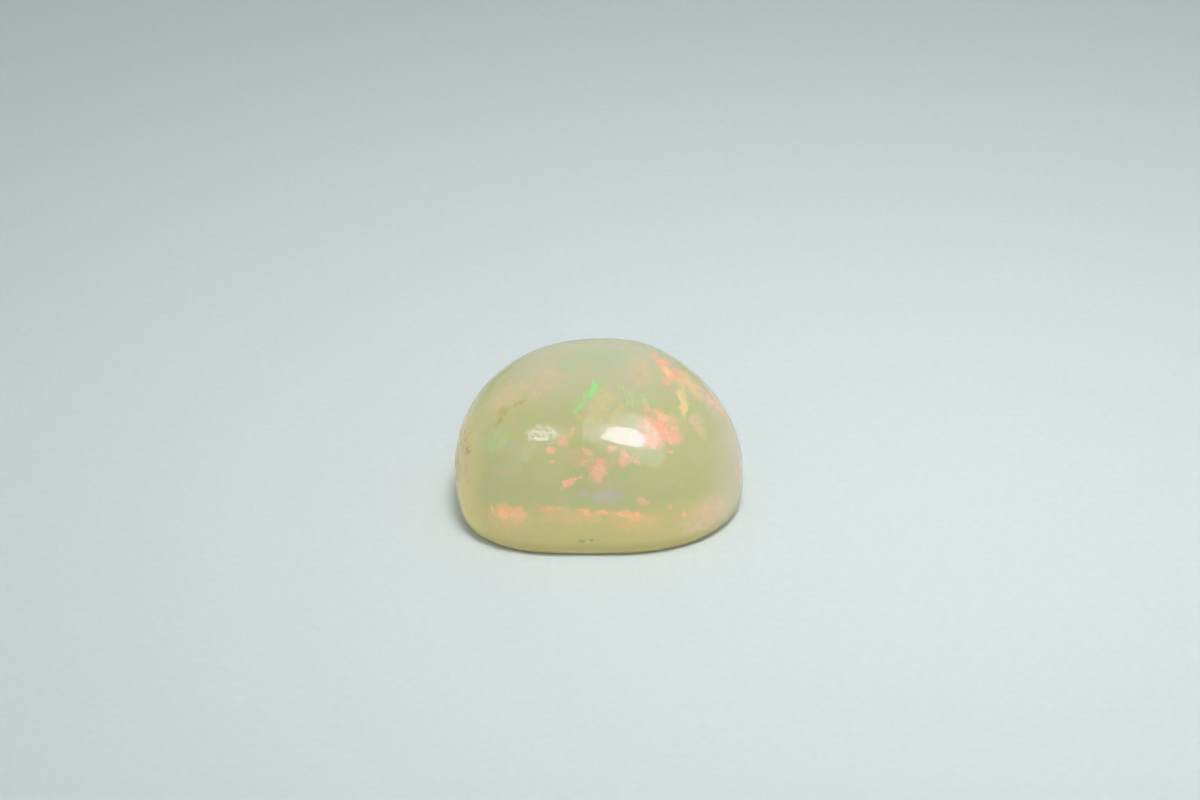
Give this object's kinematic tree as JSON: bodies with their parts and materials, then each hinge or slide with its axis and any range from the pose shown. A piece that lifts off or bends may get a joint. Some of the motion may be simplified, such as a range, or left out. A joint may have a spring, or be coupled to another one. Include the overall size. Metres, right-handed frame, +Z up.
{
  "type": "polished opal specimen",
  "caption": "Polished free-form opal: one high, slightly lopsided dome with a bevelled lower edge on a flat ground base, milky olive-gold body with flakes of play-of-colour.",
  "frame": {"origin": "middle of the flat base on the surface that the stone rests on", "axes": "+X along the stone's longest width, to the right seen from its front; +Z up through the dome; the front faces -Y"},
  "size_m": [0.018, 0.0142, 0.0104],
  "materials": {
    "opal": "hand-polished glossy opal, milky and translucent, with play-of-colour"
  },
  "bodies": {
    "root": {"opal": "opal"}
  },
  "joints": []
}
